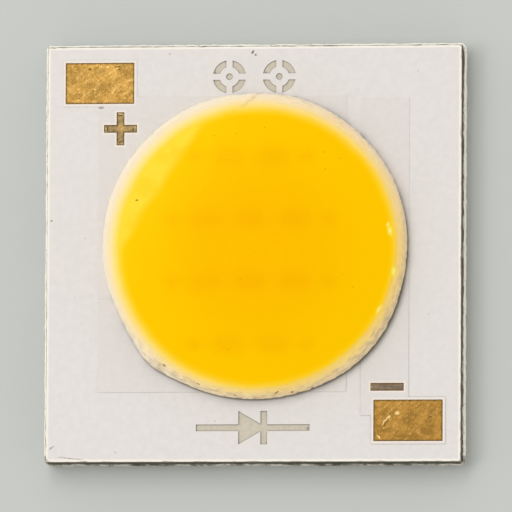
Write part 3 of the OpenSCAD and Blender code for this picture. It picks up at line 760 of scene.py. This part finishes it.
def make_dam():
    """The dam: a bead that wanders a little in width and height, and closes in a slanting seam at the top"""
    deselect_all()
    bpy.ops.mesh.primitive_torus_add(major_radius=CREST, minor_radius=BEAD, major_segments=720,
                                     minor_segments=40, location=(DAM_X, DAM_Y, BEAD_Z))
    piece = bpy.context.object
    bpy.ops.object.transform_apply(location=True, rotation=True, scale=True)
    points = points_of(piece)
    x, y = points[:, 0] - DAM_X, points[:, 1] - DAM_Y
    angle = np.arctan2(y, x)
    across = np.hypot(x, y) - CREST
    up = points[:, 2] - BEAD_Z
    # Slumped: flatter than a circle on top and steeper towards its foot
    share = np.clip(across / BEAD, 0, 1)
    slumped = BEAD * (1 - share ** 2.8) ** (1 / 2.8)
    up = np.where((up > 0) & (across > 0), slumped, up)
    swell = 1 + crest_swell(angle)
    shift = 0.012 * MM * waver(angle, 5, 2, 7)
    along = (angle - SEAM_ANGLE) * CREST
    slant = along + 0.7 * across
    crease = np.exp(-(slant / (0.05 * MM)) ** 2)
    ridge = np.exp(-((slant - 0.12 * MM) / (0.16 * MM)) ** 2)
    swell += 0.05 * ridge - 0.085 * crease
    curl_angle = math.radians(132)
    curl = np.exp(-((angle - curl_angle) * CREST / (0.05 * MM)) ** 2) * (across > 0.2 * MM)
    swell -= 0.06 * curl
    outer = np.clip(across / BEAD, 0, 1)
    for place, width, reach in BULGES:
        shift = shift + outer * lobe(angle, place, width) * reach * MM
    shift = shift + outer * 0.008 * MM * waver(angle, 6, 50, 110)
    radius = CREST + shift + across * swell
    points[:, 0] = DAM_X + radius * np.cos(angle)
    points[:, 1] = DAM_Y + radius * np.sin(angle)
    points[:, 2] = BEAD_Z + up * swell
    set_points(piece, points)
    make_active(piece)
    bpy.ops.object.mode_set(mode="EDIT")
    bpy.ops.mesh.select_all(action="SELECT")
    bpy.ops.mesh.bisect(plane_co=(0, 0, dam_low.z), plane_no=(0, 0, 1), use_fill=True, clear_inner=True)
    bpy.ops.object.mode_set(mode="OBJECT")
    points = points_of(piece)
    angle = np.arctan2(points[:, 1] - DAM_Y, points[:, 0] - DAM_X)
    across = np.hypot(points[:, 0] - DAM_X, points[:, 1] - DAM_Y) - CREST
    from_seam = (angle - SEAM_ANGLE) * CREST + 0.7 * across
    # The warm side: the seam's tint and the painted yellow glow from the phosphor
    to_right = np.clip(0.3 + 0.5 * np.cos(angle - math.radians(-12)), 0, 1)
    set_attribute(piece, "yellow_tint_and_glow", to_right / (1 + np.exp(np.clip(from_seam / (0.05 * MM), -30, 30))))
    low = np.clip(1.3 - (points[:, 2] - FACE_Z) / (0.26 * MM), 0, 1)
    grimy_and_shaded_side = np.full_like(angle, 0.2)
    for place, width, amount in GRIME_AND_SHADE_SIDES:
        grimy_and_shaded_side += amount * lobe(angle, place, width)
    grimy_and_shaded_side = np.clip(grimy_and_shaded_side, 0, 1)
    # The foot's dark line: painted contact shade and grime
    set_attribute(piece, "foot_shade_and_grime", low * grimy_and_shaded_side)
    set_attribute(piece, "flank", np.clip((across - 0.14 * MM) / (0.22 * MM), 0, 1) * grimy_and_shaded_side)
    near_seam = np.abs(angle - SEAM_ANGLE) < 0.3
    set_attribute(piece, "crease", np.exp(-(from_seam / (0.045 * MM)) ** 2) * near_seam)
    return finish_piece(piece, "dispensed_dam", dam_silicone(), "silicone_dam", 45)


def dome(reach):
    """Height of the pool's surface, on its crown"""
    return RIM_Z + CROWN * (1 - (reach / POOL_RIM) ** 2)


def make_pool():
    """The pool of phosphor: a domed disc spun from its section, whose skin laps on to the dam's crest"""
    deselect_all()
    rings = 96
    bpy.ops.mesh.primitive_circle_add(vertices=3, radius=MM, location=(0, 0, 0))
    piece = bpy.context.object
    lip, floor = 0.03 * MM, mask_low.z + 0.08 * MM
    section = [(POOL_RIM * k / rings, dome(POOL_RIM * k / rings)) for k in range(rings + 1)]
    section += [(POOL_RIM - lip, RIM_Z - lip), (CREST - 0.3 * BEAD, dam_high.z - 0.35 * BEAD)]
    section += [(CREST - BEAD, FACE_Z + 0.1 * MM), (CREST - BEAD, floor), (0, floor)]
    shape = bmesh.new()
    chain = [shape.verts.new((DAM_X + r, DAM_Y, z)) for r, z in section]
    for first, second in zip(chain, chain[1:]):
        shape.edges.new((first, second))
    shape.to_mesh(piece.data)
    shape.free()
    bpy.ops.object.mode_set(mode="EDIT")
    bpy.ops.mesh.select_all(action="SELECT")
    bpy.ops.mesh.spin(steps=320, angle=2 * math.pi, center=(DAM_X, DAM_Y, 0), axis=(0, 0, 1))
    bpy.ops.mesh.select_all(action="SELECT")
    bpy.ops.mesh.remove_doubles(threshold=0.0005 * MM)
    bpy.ops.mesh.normals_make_consistent(inside=False)
    bpy.ops.object.mode_set(mode="OBJECT")
    points = points_of(piece)
    x, y = points[:, 0] - DAM_X, points[:, 1] - DAM_Y
    reach, angle = np.hypot(x, y), np.arctan2(y, x)
    top = points[:, 2] > dome(reach) - 0.001 * MM
    # The rim rises and falls with the bead that it lies on
    share = np.clip((reach - (POOL_RIM - 0.9 * MM)) / (0.9 * MM), 0, 1)
    bead = crest_swell(angle) * BEAD
    points[:, 2] += np.where(top, bead * share ** 2 * (3 - 2 * share), 0)
    set_points(piece, points)
    # The painted shade of the dies and wires below
    set_attribute(piece, "under", shade_of_array(points, top))
    finish = phosphor_silicone()
    return finish_piece(piece, "phosphor_pool", finish, "phosphor_fill", 50)


def soft_box(points, low, high, blur):
    """1 over a box in plan and 0 away from it, blurred by the depth of phosphor over it"""
    inside = 1.0
    for axis in (0, 1):
        from_low = 1 / (1 + np.exp(-(points[:, axis] - low[axis]) / blur))
        from_high = 1 / (1 + np.exp((points[:, axis] - high[axis]) / blur))
        inside = inside * from_low * from_high
    return inside


def shade_of_array(points, top):
    """How much of a die, a bond point or a wire lies beneath each point of the pool's surface, for the shade
    painted there
    """
    shade = np.zeros(len(points))
    for name in nodes:
        if name.startswith("led_die"):
            low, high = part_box(name)
            shade += 0.34 * soft_box(points, low, high, 0.1 * MM)
        elif name.startswith("bond_wire"):
            low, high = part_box(name)
            shade += 0.16 * soft_box(points, low, high, 0.09 * MM)
            if high.z - low.z > 0.25 * MM:
                end_x = low.x if low.x < DAM_X - MM else high.x
                end = Vector((end_x, (low.y + high.y) / 2, 0))
                size = Vector((0.16, 0.16, 0)) * MM
                shade += 0.4 * soft_box(points, end - size, end + size, 0.08 * MM)
    return np.where(top, np.clip(shade, 0, 1), 0)


def board_place(node):
    """Centre and size in plan of a node, for a pattern that follows its outline"""
    low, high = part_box(node)
    return ((low.x + high.x) / 2, (low.y + high.y) / 2, high.x - low.x, high.y - low.y)


def cross_bars(node, stroke):
    x, y, width, height = board_place(node)
    return [(x, y, width, stroke), (x, y, stroke, height)]


def dress_board():
    """Materials for the pieces whose shape comes from the frame"""
    anode, cathode = board_place("anode_pad"), board_place("cathode_pad")
    ax, ay = anode[0] / MM, anode[1] / MM
    cx, cy = cathode[0] / MM, cathode[1] / MM
    anode_patches = [
        (ax - 0.72, ay - 0.42, 0.42, 0.2, 20), (ax - 0.2, ay - 0.5, 0.3, 0.12, 0),
        (ax - 0.85, ay + 0.1, 0.2, 0.3, 0)
    ]
    anode_scratches = [(ax + 0.24, ay + 0.54, 0.09, 0.05, 0), (ax - 0.17, ay - 0.2, 0.07, 0.05, 0)]
    anode_nicks = [
        (ax - 0.33, ay + 0.45, 0.09, 0.07, 0), (ax + 0.56, ay + 0.54, 0.2, 0.04, 10),
        (ax + 0.6, ay + 0.46, 0.12, 0.03, 5), (ax + 0.62, ay - 0.3, 0.4, 0.02, 42)
    ]
    cathode_patches = [(cx + 0.6, cy - 0.35, 0.5, 0.25, -10), (cx - 0.2, cy - 0.5, 0.5, 0.12, 0)]
    cathode_scratches = [
        (cx - 0.35, cy + 0.24, 0.17, 0.13, 0), (cx - 0.74, cy - 0.03, 0.34, 0.05, 52),
        (cx - 0.6, cy + 0.1, 0.14, 0.09, 30), (cx - 0.95, cy - 0.52, 0.2, 0.06, -50)
    ]
    cathode_nicks = [(cx - 0.7, cy - 0.1, 0.3, 0.025, 52), (cx + 0.7, cy + 0.1, 0.12, 0.03, 20)]
    stroke = board_place("minus_mark")[3]
    plus, minus = cross_bars("plus_mark", stroke), [board_place("minus_mark")]
    px, py = plus[0][0] / MM, plus[0][1] / MM
    plus_nicks = [
        (px - 0.43, py + 0.02, 0.05, 0.2, 10), (px + 0.42, py - 0.03, 0.05, 0.2, -25),
        (px, py + 0.43, 0.2, 0.05, 0), (px + 0.02, py - 0.41, 0.2, 0.05, 15)
    ]
    plus_curls = [
        (px - 0.5, py + 0.05, 0.05, 0.13, 10), (px - 0.47, py - 0.1, 0.06, 0.05, 0),
        (px + 0.49, py + 0.03, 0.05, 0.17, 20), (px - 0.02, py + 0.49, 0.14, 0.05, 0),
        (px + 0.08, py + 0.45, 0.04, 0.1, 30), (px + 0.03, py - 0.49, 0.16, 0.05, 10),
        (px - 0.09, py - 0.44, 0.06, 0.05, 0)
    ]
    mx, my = minus[0][0] / MM, minus[0][1] / MM
    finishes = {
        "anode_pad": gold_finish("immersion_gold_anode", ("a5803f", "c69a50", "deb66d"), [anode], 40,
                                 anode_patches, anode_scratches, anode_nicks),
        "cathode_pad": gold_finish("immersion_gold_cathode", ("957034", "b0853f", "cda157"), [cathode], 45,
                                   cathode_patches, cathode_scratches, cathode_nicks),
        "plus_mark": gold_finish("immersion_gold_plus", ("7d6b4a", "93805b", "b39c6a"), plus, 30,
                                 scratches=plus_curls, nicks=plus_nicks, worn=(px + 0.03, py + 0.02, 0.55)),
        "minus_mark": gold_finish("immersion_gold_minus", ("75685a", "907e69", "a89579"), minus, 10,
                                  scratches=[(mx - 0.5, my + 0.03, 0.07, 0.14, 15)]),
        "dielectric_layer": dielectric_epoxy(),
        "die_attach": hidden_finish("die_attach_silicone", "d9d6cf", "efece4",
                                    {"Roughness": 0.4, "IOR": 1.41}, 0.1)
    }
    copper = plain_copper()
    inner_gold = hidden_finish("inner_immersion_gold", "d9a85a", "f3c878",
                               {"Metallic": 1.0, "Roughness": 0.4}, 0.1)
    die = hidden_finish("gallium_nitride_die", "6f86a8", "a7bad3", {"Roughness": 0.12, "IOR": 2.3}, 0.2)
    wire = hidden_finish("drawn_gold_wire", "e8b65c", "ffd27e", {"Metallic": 1.0, "Roughness": 0.2}, 0.05)
    for name, thing in nodes.items():
        if name.startswith("led_die"):
            finish = die
        elif name.startswith("bond_wire"):
            finish = wire
        elif name.endswith("_copper"):
            finish = copper
        else:
            finish = finishes.get(name, inner_gold)
        thing.data.materials.clear()
        thing.data.materials.append(finish)


def make_floor():
    deselect_all()
    bpy.ops.mesh.primitive_plane_add(size=2.0, location=(0, 0, base_low.z))
    floor = bpy.context.object
    floor.name = "floor"
    floor.data.materials.append(studio_floor())


make_base()
make_mask()
make_dam()
make_pool()
dress_board()
make_floor()
